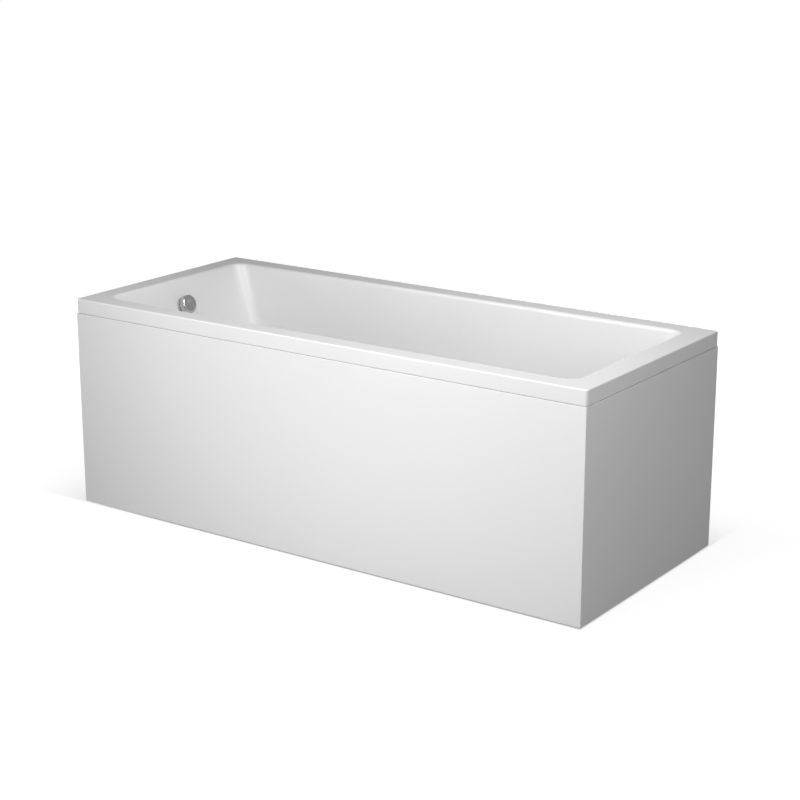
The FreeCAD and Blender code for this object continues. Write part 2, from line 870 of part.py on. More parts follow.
def overflow_knob():
    """Cup-shaped knob with a dished face; water runs in through the gap behind its edge."""
    face = knob_reach - knob_wall
    inner = knob_radius - knob_wall
    bore = spindle_radius + fit_gap
    hub_low = face - knob_hub_depth
    outline = [(0, face), (0, knob_reach - knob_dish), (knob_radius - 2 * knob_edge_radius, knob_reach),
               (knob_radius, knob_reach), (knob_radius, knob_gap), (inner, knob_gap), (inner, face),
               (knob_hub_radius, face), (knob_hub_radius, hub_low), (bore, hub_low), (bore, face)]
    return placed(turned(outline, {3: knob_edge_radius, 6: knob_wall / 2}), overflow_frame)


# Hose, cable and union nuts


def hose_path():
    start = overflow_frame.multVec(DOWN * hose_axis + ALONG * spigot_reach)
    down_wall = overflow_frame.Rotation.multVec(ALONG)
    corner = start + down_wall * ((start.z - port_z) / -down_wall.z)
    end = Vector(drain_x - port_reach, 0, port_z)
    return rounded_wire([start, corner, end], {1: hose_bend_radius})


def along_path(path, distance):
    """Point and direction at a distance along a wire."""
    for edge in path.Edges:
        if distance <= edge.Length + same_place:
            place = edge.getParameterByLength(min(distance, edge.Length))
            return edge.valueAt(place), edge.tangentAt(place)
        distance -= edge.Length
    raise ValueError("the distance is past the end of the wire")


def hose_ring(path, distance, radius):
    point, direction = along_path(path, distance)
    circle = Part.Circle(point, direction, radius)
    circle.XAxis = ACROSS
    return Part.Wire(circle.toShape())


def overflow_hose():
    """Corrugated hose with plain cuffs, each as long as the hose is thick."""
    path = hose_path()
    cuff = 2 * hose_radius
    ribs = int((path.Length - 2 * cuff) / hose_pitch)
    first = (path.Length - ribs * hose_pitch) / 2
    rings = [hose_ring(path, 0, hose_radius), hose_ring(path, first, hose_radius)]
    valley_end = hose_valley_width / 2
    crest_start = (hose_pitch - hose_crest_width) / 2
    for rib in range(ribs):
        start = first + rib * hose_pitch
        end = start + hose_pitch
        rings.append(hose_ring(path, start + valley_end, hose_valley))
        rings.append(hose_ring(path, start + crest_start, hose_radius))
        rings.append(hose_ring(path, end - crest_start, hose_radius))
        rings.append(hose_ring(path, end - valley_end, hose_valley))
    rings.append(hose_ring(path, path.Length - first, hose_radius))
    rings.append(hose_ring(path, path.Length, hose_radius))
    bore = path.makePipeShell([hose_ring(path, 0, hose_bore)], True, False)
    return Part.makeLoft(rings, True, True).cut(bore)


def cable_path():
    gland = DOWN * hose_axis + ACROSS * cable_offset + ALONG * (cable_gland_reach - cable_insert)
    start = overflow_frame.multVec(gland)
    down_wall = overflow_frame.Rotation.multVec(ALONG)
    gland_low = cup_low() - gland_length
    low_z = gland_low - cable_drop
    corner = start + down_wall * ((start.z - low_z) / -down_wall.z)
    under = Vector(drain_x, 0, low_z)
    end = Vector(drain_x, 0, gland_low)
    return rounded_wire([start, corner, under, end], {1: cable_bend_radius, 2: cable_end_radius})


def bowden_cable():
    path = cable_path()
    point, direction = along_path(path, 0)
    return path.makePipeShell([Part.Wire(Part.Circle(point, direction, cable_radius).toShape())], True, False)


def union_nut(joint, direction, bore):
    """Ribbed union nut over a pipe joint, half of its length on each side."""
    low, high = DOWN * union_length / 2, UP * union_length / 2
    nut = rod(union_radius - union_rib_radius, low, high)
    grips = []
    for turn in range(union_ribs):
        angle = turn * 2 * math.pi / union_ribs
        place = Vector(math.cos(angle), math.sin(angle), 0) * (union_radius - union_rib_radius)
        grips.append(rod(union_rib_radius, low + place, high + place))
    nut = nut.fuse(grips).removeSplitter().cut(rod(bore + union_gap, low, high))
    return placed(nut, Placement(joint, Rotation(UP, direction)))


def hose_nuts():
    path = hose_path()
    nuts = []
    for distance in (0, path.Length):
        point, direction = along_path(path, distance)
        nuts.append(union_nut(point, direction, hose_radius))
    return nuts


# Waste, on an upright axis through the hole


def at_drain(shape):
    return moved(shape, Vector(drain_x, 0, recess_z))


def seat_radius():
    return waste_hole_radius - fit_gap - waste_neck_wall


def throat_radius():
    return seat_radius() - waste_seat_width


def waste_upper_seal():
    outer = waste_flange_radius - seal_setback
    return at_drain(tube(waste_hole_radius, outer, Vector(), UP * gasket_thickness))


def waste_flange():
    """Flange with the plug's seat, a threaded neck, and a cross that guides the plug's stem."""
    top = gasket_thickness + waste_flange_thickness
    neck = waste_hole_radius - fit_gap
    outline = [(throat_radius(), -waste_neck_depth), (neck, -waste_neck_depth), (neck, gasket_thickness),
               (waste_flange_radius, gasket_thickness), (waste_flange_radius, top),
               (seat_radius() + waste_neck_wall, top), (seat_radius(), gasket_thickness),
               (seat_radius(), -waste_seat_depth), (throat_radius(), -waste_seat_depth)]
    flange = turned(outline, {4: waste_flange_thickness / 2})
    low = -waste_cross_depth - waste_cross_height
    arms = []
    for turn in range(3):
        arm = box(Vector(0, -waste_cross_arm / 2, low),
                  Vector(throat_radius() + fit_gap, waste_cross_arm / 2, -waste_cross_depth))
        arms.append(arm.rotated(Vector(), UP, turn * 120))
    guide_top = DOWN * waste_cross_depth
    guide_low = guide_top + DOWN * guide_length
    guide = rod(stem_radius + guide_wall, guide_low, guide_top)
    return at_drain(flange.fuse([guide] + arms).cut(rod(stem_radius + fit_gap, guide_low, guide_top)))


def waste_lower_seal():
    high = DOWN * acrylic_wall
    return at_drain(tube(waste_hole_radius + fit_gap, lower_seal_radius, high - UP * seal_thickness, high))


def cup_low():
    return port_z - pipe_radius - cup_wall


def waste_body():
    """Cup under the floor with the overflow port, the outlet port and the gland of the lifting pin."""
    flange_top = boss_bottom - seal_thickness - recess_z
    low = cup_low() - recess_z
    bore = waste_hole_radius + fit_gap
    outer = bore + cup_wall
    outline = [(0, low), (outer, low), (outer, flange_top - body_flange),
               (lower_seal_radius, flange_top - body_flange), (lower_seal_radius, flange_top),
               (bore, flange_top), (bore, low + cup_wall), (0, low + cup_wall)]
    body = turned(outline, {1: cup_wall / 2})
    port = DOWN * port_depth
    inside = rod(bore, UP * (low + cup_wall), UP * flange_top)
    gland = rod(gland_radius, UP * (low - gland_length), UP * (low + cup_wall))
    body = body.fuse([rod(hose_radius, port, port - ALONG * port_reach),
                      rod(pipe_radius, port, port + ACROSS * port_reach)]).cut(inside).fuse(gland)
    body = body.cut([rod(hose_bore, port, port - ALONG * port_reach),
                     rod(pipe_radius - pipe_wall, port, port + ACROSS * port_reach),
                     rod(lift_pin_radius + fit_gap, UP * (low - gland_length), UP * (low + cup_wall))])
    return at_drain(body.removeSplitter())


def plug_low():
    return seat_gap + plug_seal_thickness - waste_seat_depth


def plug_radius():
    return seat_radius() - plug_clearance


def plug_seal():
    low = UP * (seat_gap - waste_seat_depth)
    return at_drain(tube(plug_seal_bore, plug_radius(), low, UP * plug_low()))


def plug_cap():
    """Crowned disc with a spigot that carries the rubber seal."""
    low = plug_low()
    spigot_low = seat_gap - waste_seat_depth
    bore = stem_radius + fit_gap
    outline = [(0, low), (0, plug_rise), (plug_radius(), plug_rise - plug_crown), (plug_radius(), low),
               (plug_seal_bore - fit_gap, low), (plug_seal_bore - fit_gap, spigot_low), (bore, spigot_low),
               (bore, low)]
    return at_drain(turned(outline, {2: plug_crown}))


def plug_stem():
    return at_drain(rod(stem_radius, UP * (plug_low() - stem_length), UP * plug_low()))


def lift_pin():
    stem_low = plug_low() - stem_length
    pin_low = cup_low() - recess_z - gland_length + seat_gap
    return at_drain(rod(lift_pin_radius, UP * pin_low, UP * stem_low))


# Trap and outlet


def pipe_along(path):
    """Pipe wall of the outlet size along a wire."""
    point, direction = along_path(path, 0)
    outer = path.makePipeShell([Part.Wire(Part.Circle(point, direction, pipe_radius).toShape())], True, False)
    bore_ring = Part.Circle(point, direction, pipe_radius - pipe_wall)
    return outer.cut(path.makePipeShell([Part.Wire(bore_ring.toShape())], True, False))


def trap_corners():
    """Corner points of the trap's centre line, from the waste's port to the outlet pipe."""
    inlet = Vector(drain_x, port_reach, port_z)
    over = inlet + ACROSS * (trap_lead + trap_bend_radius)
    dip = over + DOWN * (2 * trap_bend_radius + trap_leg)
    foot = dip + ACROSS * 2 * trap_bend_radius
    rise = foot + UP * (2 * trap_bend_radius + trap_rise)
    return [inlet, over, dip, foot, rise, rise + ACROSS * (trap_bend_radius + trap_tail)]


def trap():
    bends = {index: trap_bend_radius for index in range(1, 5)}
    return pipe_along(rounded_wire(trap_corners(), bends))


def outlet_pipe():
    """Straight pipe towards the wall; its near end is turned down to go into the union nut."""
    start = trap_corners()[-1]
    end = Vector(start.x, half_width - outlet_wall_gap, start.z)
    pipe = tube(pipe_radius - pipe_wall, pipe_radius, start, end)
    spigot_end = start + ACROSS * (union_length / 2 + outlet_spigot)
    return pipe.cut(tube(pipe_radius - outlet_step, pipe_radius + outlet_step, start, spigot_end))


def trap_nuts():
    corners = trap_corners()
    return [union_nut(corners[0], ACROSS, pipe_radius), union_nut(corners[-1], ACROSS, pipe_radius)]


# Every node with its solids
nodes = {
    "tub_shell": [tub_shell()],
    "grp_backing": [grp_backing()],
    "base_board": [base_board()],
    "rail_screws": screws(rail_seats()),
    "lock_nuts_upper": lock_nuts(rail_top),
    "lock_nuts_lower": lock_nuts(rail_top - rail_wall - nut_height),
    "front_panel": [placed(panel_skin(bath_length, 1), front_frame)],
    "end_panel": [placed(panel_skin(bath_width, -1), end_frame)],
    "front_stiffeners": front_stiffeners(),
    "end_stiffeners": end_stiffeners(),
    "panel_clips": panel_clips(),
    "clip_screws": screws(front_clip_seats() + end_clip_seats()),
    "panel_brackets": panel_brackets(),
    "bracket_screws": screws(bracket_seats() + in_frame(bracket_upright_seats(), front_frame)),
    "end_panel_stays": end_panel_stays(),
    "stay_screws": screws(stay_seats() + in_frame(stay_upright_seats(), end_frame)),
    "corner_brackets": corner_brackets(),
    "corner_screws": screws(corner_seats()[0] + corner_seats()[1]),
    "wall_brackets": wall_brackets(),
    "wall_bracket_screws": screws(wall_bracket_seats()),
    "overflow_gasket": [overflow_gasket()],
    "overflow_clamp": [overflow_clamp()],
    "clamp_screws": [placed(made, overflow_frame) for made in screws(clamp_seats())],
    "overflow_body": [overflow_body()],
    "overflow_seal": [overflow_seal()],
    "overflow_spindle": [spindle()],
    "overflow_knob": [overflow_knob()],
    "overflow_hose": [overflow_hose()],
    "hose_nuts": hose_nuts(),
    "bowden_cable": [bowden_cable()],
    "waste_upper_seal": [waste_upper_seal()],
    "waste_flange": [waste_flange()],
    "waste_lower_seal": [waste_lower_seal()],
    "waste_body": [waste_body()],
    "plug_cap": [plug_cap()],
    "plug_seal": [plug_seal()],
    "plug_stem": [plug_stem()],
    "lift_pin": [lift_pin()],
    "trap": [trap()],
    "trap_nuts": trap_nuts(),
    "outlet_pipe": [outlet_pipe()],
}
nodes.update({name: [batten] for name, batten in rim_battens().items()})
for number, x in enumerate(rail_places, start=1):
    nodes[f"leg_rail_{number}"] = [leg_rail(x)]
for number, (x, y) in enumerate(leg_places(), start=1):
    nodes[f"leg_rod_{number}"] = [leg_rod(x, y)]
    nodes[f"foot_pad_{number}"] = [foot_pad(x, y)]

os.makedirs("parts", exist_ok=True)
for name, solids in nodes.items():
    shape = solids[0] if len(solids) == 1 else Part.makeCompound(solids)
    shape.exportStep(f"parts/{name}.step")
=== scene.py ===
import json
import math

import bmesh
import bpy
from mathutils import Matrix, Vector


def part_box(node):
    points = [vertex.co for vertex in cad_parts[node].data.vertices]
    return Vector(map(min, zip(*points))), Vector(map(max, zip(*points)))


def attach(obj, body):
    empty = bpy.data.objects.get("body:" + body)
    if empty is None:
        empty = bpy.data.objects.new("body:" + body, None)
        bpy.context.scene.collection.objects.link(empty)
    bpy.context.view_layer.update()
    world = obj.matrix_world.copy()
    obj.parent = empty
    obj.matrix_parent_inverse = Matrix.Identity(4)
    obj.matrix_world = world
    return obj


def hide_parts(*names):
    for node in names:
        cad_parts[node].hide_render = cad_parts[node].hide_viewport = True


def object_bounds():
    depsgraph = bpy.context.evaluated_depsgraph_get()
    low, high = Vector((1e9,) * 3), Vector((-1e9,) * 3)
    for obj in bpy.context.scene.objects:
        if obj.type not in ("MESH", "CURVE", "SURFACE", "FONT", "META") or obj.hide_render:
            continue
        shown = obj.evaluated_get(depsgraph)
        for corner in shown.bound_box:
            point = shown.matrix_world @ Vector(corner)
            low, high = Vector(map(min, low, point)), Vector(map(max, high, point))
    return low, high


# Acrylic bath with front and end panel, dressed around its CAD frame, in metres.
# X runs along the bath, -X to the end with the overflow; -Y is the panelled front; Z is up.

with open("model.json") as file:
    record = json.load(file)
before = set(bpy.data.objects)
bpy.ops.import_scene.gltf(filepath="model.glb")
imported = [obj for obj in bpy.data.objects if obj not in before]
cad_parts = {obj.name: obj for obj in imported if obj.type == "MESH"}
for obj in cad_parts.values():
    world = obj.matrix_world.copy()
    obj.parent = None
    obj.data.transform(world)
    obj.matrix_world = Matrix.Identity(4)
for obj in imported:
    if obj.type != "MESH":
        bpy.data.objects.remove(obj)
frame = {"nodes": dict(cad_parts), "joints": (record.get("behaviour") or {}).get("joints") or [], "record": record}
cad_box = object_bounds()
nodes = frame["nodes"]
joints = {joint["name"]: joint for joint in frame["joints"]}

UP = Vector((0, 0, 1))
ALONG = Vector((1, 0, 0))
ACROSS = Vector((0, 1, 0))

# Camera, solved from the straight edges of rim and panels in a square picture
camera_place = Vector((2.8884, -4.0582, 1.8042))
camera_azimuth = math.radians(34.989)
camera_elevation = math.radians(16.467)
camera_reach = 200
sensor_width = 36
picture_side = 800
focal_pixels = 1878.19
principal_x = 400.75
principal_y = 410.17

# Floor: its tone in the light, and its glow under the bath, beside it and far from it; the glow is dimmed under
# and beside the bath as painted shadow.
# Each shade is where a change of glow begins and ends, measured outwards from the bath's outline.
floor_half = 40
floor_height = -0.0004
floor_tone = 0.2
# Painted shadow: the floor's low glow under the bath, and its dimmer glow beside it
painted_shadow_glow = 0.12
painted_shade_near_glow = 0.88
open_glow = 1.0
panel_shade = (-0.012, 0.004)
back_shade = (-0.55, 0.25)
open_shade = (0.004, 0.8)

# Surround: white at the horizon, grey overhead, and the little light that it gives by itself
horizon_white = math.radians(4)
overhead_from = math.radians(12)
overhead_tone = 0.42
ambient = 0.02

# Lamps: place, size and watts
lamp_target = Vector((0.2, 0, 0.35))
lamps = {
    "front": ((0.1, -1.7, 0.65), (1.7, 1.0), 16.3),
    "left_high": ((-0.6, -0.8, 1.6), (0.9, 0.9), 6),
    "right_high": ((1.75, -1.05, 1.5), (1.6, 1.2), 14.6),
    "top": ((0.6, -0.26, 1.8), (1.2, 0.9), 12.4),
    "rear": ((-0.3, 2.6, 0.32), (2.4, 0.45), 30),
    "foot_end": ((-2.6, 0.4, 0.32), (1.4, 0.45), 14),
}

# Hose and cable behind the foot wall
hose_radius = 0.019
hose_valley = 0.0172
hose_pitch = 0.007
hose_cuff = 0.038
hose_axis_depth = 0.0357
hose_start_drop = 0.054
hose_port_height = 0.139
hose_bend_reach = 0.084
hose_sides = 56
rings_per_rib = 14
rib_power = 0.6
cable_radius = 0.0025
cable_side = 0.036
cable_start_drop = 0.014
cable_low = 0.0577
cable_gland_low = 0.1018
cable_bend_reach = 0.082
cable_end_reach = 0.060
cable_step = 0.002
cable_sides = 24
route_order = 3
route_resolution = 48

# Knob of the overflow, from the wall outwards
knob_radius = 0.0276
knob_gap = 0.0122
knob_reach = 0.0295
knob_wall = 0.0025
knob_edge = 0.0045
knob_dish = 0.0007
knob_hub_radius = 0.0085
knob_hub_depth = 0.009
knob_bore = 0.0051
knob_tip = 0.0002
knob_sides = 144
knob_edge_steps = 12
knob_dish_steps = 40
knob_crease = math.radians(30)

# Thread of rods and screws, in shares of the pitch: where its root begins, and how steep its flanks are
thread_root = 0.4
thread_flank = 6.0

# Threaded rods and lock nuts
rod_radius = 0.006
rod_chamfer = 0.0012
rod_pitch = 0.00175
rod_thread_depth = 0.00095
rod_sides = 36
rod_numbers = range(1, 5)
rings_per_rod_pitch = 8
hex_flats = 0.019
hex_height = 0.009
hex_chamfer = 0.0013
nut_bore_radius = 0.0061
nut_sides = 72

# Screws: threaded shank, and pan head whose sides are upright for a share of its height.
# The cross in the head ends at a share of its reach, and has risen there by a share of its depth.
screw_length = 0.0132
screw_radius = 0.0021
screw_pitch = 0.0016
screw_thread_depth = 0.0005
screw_point = 0.003
screw_tip = 0.0002
screw_sides = 20
rings_per_screw_pitch = 6
head_radius = 0.0042
head_height = 0.0022
head_upright = 0.4
head_dome_steps = 5
head_sides = 48
recess_reach = 0.0023
recess_width = 0.0009
recess_depth = 0.0013
recess_end = 0.9
recess_rise = 0.6
recess_rings = (0.85, 0.7, 0.55, 0.4, 0.25, 0.1)

# Reading of the CAD solids
weld_distance = 1e-6
length_tolerance = 1e-4


# Geometry helpers


def add_piece(name, points, faces, body, finish, smooth=True):
    """New mesh piece with its finish; it rides on a body and belongs to a material slot."""
    mesh = bpy.data.meshes.new(name)
    mesh.from_pydata([tuple(point) for point in points], [], faces)
    mesh.validate()
    mesh.polygons.foreach_set("use_smooth", [smooth] * len(mesh.polygons))
    mesh.materials.append(finish)
    piece = bpy.data.objects.new(name, mesh)
    bpy.context.scene.collection.objects.link(piece)
    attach(piece, body)
    return piece


def add_solid(points, faces, solid):
    """Add the points and faces of a solid to those of a piece."""
    first = len(points)
    points += solid[0]
    faces += [tuple(first + index for index in face) for face in solid[1]]


def ring_faces(rings, sides, closed_ends=True):
    """Faces that join consecutive rings of points, with flat caps at both ends."""
    faces = []
    for ring in range(rings - 1):
        for side in range(sides):
            ahead = (side + 1) % sides
            low, high = ring * sides, (ring + 1) * sides
            faces.append((low + side, low + ahead, high + ahead, high + side))
    if closed_ends:
        faces.append(tuple(reversed(range(sides))))
        faces.append(tuple(range((rings - 1) * sides, rings * sides)))
    return faces


def spokes(axis, across, sides):
    """Angles round an axis, each with its direction outwards."""
    beside = axis.cross(across)
    angles = [2 * math.pi * side / sides for side in range(sides)]
    return [(angle, across * math.cos(angle) + beside * math.sin(angle)) for angle in angles]


def lathe(base, axis, across, rows, sides, closed_ends=True):
    """Points and faces of rings round an axis; a row gives its ring's height and radius at an angle."""
    points = []
    outwards = spokes(axis, across, sides)
    for row in rows:
        for angle, spoke in outwards:
            height, radius = row(angle)
            points.append(base + axis * height + spoke * radius)
    return points, ring_faces(len(rows), sides, closed_ends)


def round_row(height, radius):
    """Lathe row of a plain circle."""
    return lambda angle: (height, radius)


def islands(node):
    """Corner points of each separate solid in a CAD node, always in the same order."""
    shell = bmesh.new()
    shell.from_mesh(nodes[node].data)
    bmesh.ops.remove_doubles(shell, verts=shell.verts, dist=weld_distance)
    left = dict.fromkeys(shell.verts)
    groups = []
    while left:
        front = [left.popitem()[0]]
        group = list(front)
        while front:
            vertex = front.pop()
            for edge in vertex.link_edges:
                other = edge.other_vert(vertex)
                if other in left:
                    del left[other]
                    front.append(other)
                    group.append(other)
        groups.append([vertex.co.copy() for vertex in group])
    shell.free()
    return sorted(groups, key=lambda group: tuple(sum(group, Vector()) / len(group)))


def box_of(points):
    low = Vector([min(point[axis] for point in points) for axis in range(3)])
    high = Vector([max(point[axis] for point in points) for axis in range(3)])
    return low, high


def spline_line(points):
    """Points of the smooth line that the control points steer."""
    curve = bpy.data.curves.new("route", "CURVE")
    curve.dimensions = "3D"
    spline = curve.splines.new("NURBS")
    spline.points.add(len(points) - 1)
    for place, point in zip(spline.points, points):
        place.co = (*point, 1)
    spline.order_u = route_order
    spline.use_endpoint_u = True
    spline.resolution_u = route_resolution
    carrier = bpy.data.objects.new("route", curve)
    mesh = bpy.data.meshes.new_from_object(carrier)
    line = [vertex.co.copy() for vertex in mesh.vertices]
    bpy.data.meshes.remove(mesh)
    bpy.data.objects.remove(carrier)
    bpy.data.curves.remove(curve)
    return line


def stations(line, spacing):
    """Distance, point and direction at even steps along a line of points."""
    distances = [0.0]
    for start, end in zip(line, line[1:]):
        distances.append(distances[-1] + (end - start).length)
    count = max(2, round(distances[-1] / spacing) + 1)
    made = []
    index = 0
    for step in range(count):
        distance = distances[-1] * step / (count - 1)
        while index < len(line) - 2 and distances[index + 1] < distance:
            index += 1
        run = line[index + 1] - line[index]
        share = (distance - distances[index]) / run.length
        made.append((distance, line[index] + run * share, run.normalized()))
    return made


def swept(line, radius_at, spacing, sides):
    """Points and faces of a tube along a line; radius_at takes the distance and the whole length."""
    places = stations(line, spacing)
    length = places[-1][0]
    across = places[0][2].orthogonal().normalized()
    points = []
    for distance, centre, direction in places:
        across = (across - direction * across.dot(direction)).normalized()
        radius = radius_at(distance, length)
        points += [centre + spoke * radius for angle, spoke in spokes(direction, across, sides)]
    return points, ring_faces(len(places), sides)


# Shader nodes


def add_node(tree, kind, inputs=None, **settings):
    """New shader node; each input is a value or the output that feeds it."""
    made = tree.nodes.new("ShaderNode" + kind)
    for name, value in settings.items():
        setattr(made, name, value)
    for name, value in (inputs or {}).items():
        if isinstance(value, bpy.types.NodeSocket):
            tree.links.new(value, made.inputs[name])
        else:
            made.inputs[name].default_value = value
    return made


def math_node(tree, operation, first, second):
    return add_node(tree, "Math", {0: first, 1: second}, operation=operation).outputs["Value"]


def ranged(tree, value, span, low, high, curve="LINEAR"):
    """Value carried from a span to the range from low to high."""
    inputs = {"Value": value, "From Min": span[0], "From Max": span[1], "To Min": low, "To Max": high}
    return add_node(tree, "MapRange", inputs, interpolation_type=curve).outputs["Result"]


# Finishes

noise_span = (0.3, 0.7)


class Finish:
    """A material with one Principled shader and the textures that its surface needs."""

    def __init__(self, name, **sockets):
        self.material = bpy.data.materials.new(name)
        self.material.use_nodes = True
        self.tree = self.material.node_tree
        self.shader = self.tree.nodes["Principled BSDF"]
        for socket, value in sockets.items():
            self.shader.inputs[socket].default_value = value

    def node(self, kind, inputs=None):
        return add_node(self.tree, kind, inputs)

    def place(self, scale=(1, 1, 1), turn=(0, 0, 0)):
        """Object coordinates, stretched and turned by degrees."""
        coordinates = self.node("TexCoord").outputs["Object"]
        rotation = [math.radians(angle) for angle in turn]
        inputs = {"Vector": coordinates, "Scale": scale, "Rotation": rotation}
        return self.node("Mapping", inputs).outputs["Vector"]

    def noise(self, scale, detail, vector=None, distortion=0.0):
        inputs = {"Scale": scale, "Detail": detail, "Distortion": distortion}
        inputs["Vector"] = vector or self.place()
        return self.node("TexNoise", inputs).outputs["Fac"]

    def cells(self, scale, vector=None):
        """Random colour of each cell of a cellular texture."""
        inputs = {"Scale": scale, "Vector": vector or self.place()}
        return self.node("TexVoronoi", inputs).outputs["Color"]

    def red(self, colour):
        return self.node("SeparateColor", {"Color": colour}).outputs["Red"]

    def spread(self, value, low, high, span=noise_span):
        return ranged(self.tree, value, span, low, high)

    def ramp(self, value, stops):
        made = self.node("ValToRGB", {"Fac": value})
        elements = made.color_ramp.elements
        while len(elements) < len(stops):
            elements.new(position=0.5)
        for element, (position, colour) in zip(elements, stops):
            element.position = position
            element.color = (*colour, 1)
        return made.outputs["Color"]

    def combine(self, first, second, operation):
        return math_node(self.tree, operation, first, second)

    def weigh(self, first, second, share):
        """A share of the first value with the rest from the second."""
        most = self.combine(first, share, "MULTIPLY")
        rest = self.combine(second, 1 - share, "MULTIPLY")
        return self.combine(most, rest, "ADD")

    def colour(self, value):
        self.tree.links.new(value, self.shader.inputs["Base Color"])

    def roughness(self, value):
        self.tree.links.new(value, self.shader.inputs["Roughness"])

    def bump(self, height, strength, depth):
        inputs = {"Height": height, "Strength": strength, "Distance": depth}
        normal = self.node("Bump", inputs).outputs["Normal"]
        self.tree.links.new(normal, self.shader.inputs["Normal"])


def acrylic(name, gloss, waviness):
    """Cast white acrylic: faint tone drift, polished skin, slow waves from forming."""
    uneven = 0.1
    finish = Finish(name, IOR=1.49)
    drift = finish.noise(scale=1.8, detail=1.0)
    finish.colour(finish.ramp(drift, [(0.35, (0.855, 0.855, 0.855)), (0.65, (0.870, 0.870, 0.870))]))
    polish = finish.noise(scale=5, detail=1.0)
    finish.roughness(finish.spread(polish, low=gloss * (1 - uneven), high=gloss * (1 + uneven)))
    finish.bump(finish.noise(scale=9, detail=0.0), waviness, depth=0.001)
    return finish.material


def glass_fibre():
    """Sprayed laminate: chopped strands in every direction, glazed over by resin."""
    tuft_sizes = (22, 31, 40)
    strand_scale = (620, 620, 24)
    mottle_share = 0.3
    finish = Finish("glass_fibre", IOR=1.52)
    strands = None
    for tuft_size in tuft_sizes:
        place = finish.place((tuft_size, tuft_size, tuft_size), (tuft_size, 2 * tuft_size, 0))
        heading = finish.cells(1.0, place)
        angle = finish.spread(finish.red(heading), low=0.0, high=6.0, span=(0.0, 1.0))
        turned = finish.node("VectorRotate", {"Vector": finish.place(), "Axis": heading, "Angle": angle})
        drawn = finish.node("Mapping", {"Vector": turned.outputs["Vector"], "Scale": strand_scale})
        streak = finish.noise(scale=1.0, detail=1.0, vector=drawn.outputs["Vector"])
        strands = streak if strands is None else finish.combine(strands, streak, "MAXIMUM")
    mottle = finish.noise(scale=14, detail=4.0)
    mixed = finish.combine(strands, finish.combine(mottle, mottle_share, "MULTIPLY"), "ADD")
    stops = [(0.62, (0.60, 0.59, 0.52)), (0.76, (0.71, 0.70, 0.64)), (0.92, (0.82, 0.81, 0.77))]
    finish.colour(finish.ramp(mixed, stops))
    finish.roughness(finish.spread(mottle, low=0.32, high=0.62))
    finish.bump(mixed, strength=0.55, depth=0.0015)
    return finish.material


def chipboard():
    """Pressed board: small flakes of several browns, with fine dust between them."""
    finish = Finish("chipboard")
    flakes = finish.red(finish.cells(260, finish.place((1.0, 0.7, 1.3), (0, 0, 25))))
    dust = finish.noise(scale=900, detail=2.0)
    mixed = finish.weigh(flakes, dust, share=0.75)
    stops = [(0.15, (0.30, 0.20, 0.11)), (0.45, (0.50, 0.36, 0.21)), (0.8, (0.66, 0.52, 0.34))]
    finish.colour(finish.ramp(mixed, stops))
    finish.roughness(finish.spread(dust, low=0.72, high=0.92))
    finish.bump(mixed, strength=0.35, depth=0.0006)
    return finish.material


def timber(name, stretch):
    """Planed softwood: growth lines along one axis, and finer fibres between them."""
    fibre_fineness = 6
    finish = Finish(name)
    lines = finish.noise(scale=1.0, detail=3.0, vector=finish.place(stretch), distortion=0.6)
    fine_place = finish.place([fibre_fineness * size for size in stretch])
    fibres = finish.noise(scale=1.0, detail=2.0, vector=fine_place)
    mixed = finish.weigh(lines, fibres, share=0.7)
    stops = [(0.33, (0.42, 0.27, 0.13)), (0.46, (0.62, 0.45, 0.26)), (0.62, (0.74, 0.58, 0.37))]
    finish.colour(finish.ramp(mixed, stops))
    finish.roughness(finish.spread(fibres, low=0.55, high=0.8))
    finish.bump(mixed, strength=0.25, depth=0.0005)
    return finish.material


def galvanised():
    """Hot-dip zinc on steel sheet, with its spangles."""
    finish = Finish("zinc_steel", Metallic=1.0)
    spangle = finish.red(finish.cells(130))
    cloud = finish.noise(scale=40, detail=3.0)
    mixed = finish.combine(spangle, cloud, "ADD")
    finish.colour(finish.ramp(mixed, [(0.4, (0.47, 0.48, 0.49)), (1.0, (0.62, 0.63, 0.64))]))
    finish.roughness(finish.spread(mixed, low=0.30, high=0.48, span=(0.3, 1.4)))
    finish.bump(cloud, strength=0.06, depth=0.0005)
    return finish.material


def plated(name, dark, light, low_rough, high_rough):
    """Turned metal with fine lines from the tool and a thin dull film."""
    tool_lines = (60, 60, 2400)
    finish = Finish(name, Metallic=1.0)
    film = finish.noise(scale=160, detail=3.0)
    finish.colour(finish.ramp(film, [(0.3, dark), (0.7, light)]))
    finish.roughness(finish.spread(film, low_rough, high_rough))
    lines = finish.noise(scale=1.0, detail=1.0, vector=finish.place(tool_lines))
    finish.bump(lines, strength=0.05, depth=0.0002)
    return finish.material


def chrome():
    """Polished chrome with a breath of haze."""
    finish = Finish("chrome", Metallic=1.0)
    haze = finish.noise(scale=120, detail=3.0)
    finish.colour(finish.ramp(haze, [(0.3, (0.53, 0.53, 0.53)), (0.7, (0.58, 0.58, 0.58))]))
    finish.roughness(finish.spread(haze, low=0.045, high=0.10))
    return finish.material


def moulded(name, dark, light, low_rough, high_rough, grain, strength):
    """Moulded plastic or rubber with a fine grain."""
    finish = Finish(name, IOR=1.5)
    cloud = finish.noise(scale=22, detail=3.0)
    fine = finish.noise(scale=grain, detail=2.0)
    finish.colour(finish.ramp(cloud, [(0.35, dark), (0.65, light)]))
    finish.roughness(finish.spread(fine, low_rough, high_rough))
    finish.bump(fine, strength, depth=0.0003)
    return finish.material


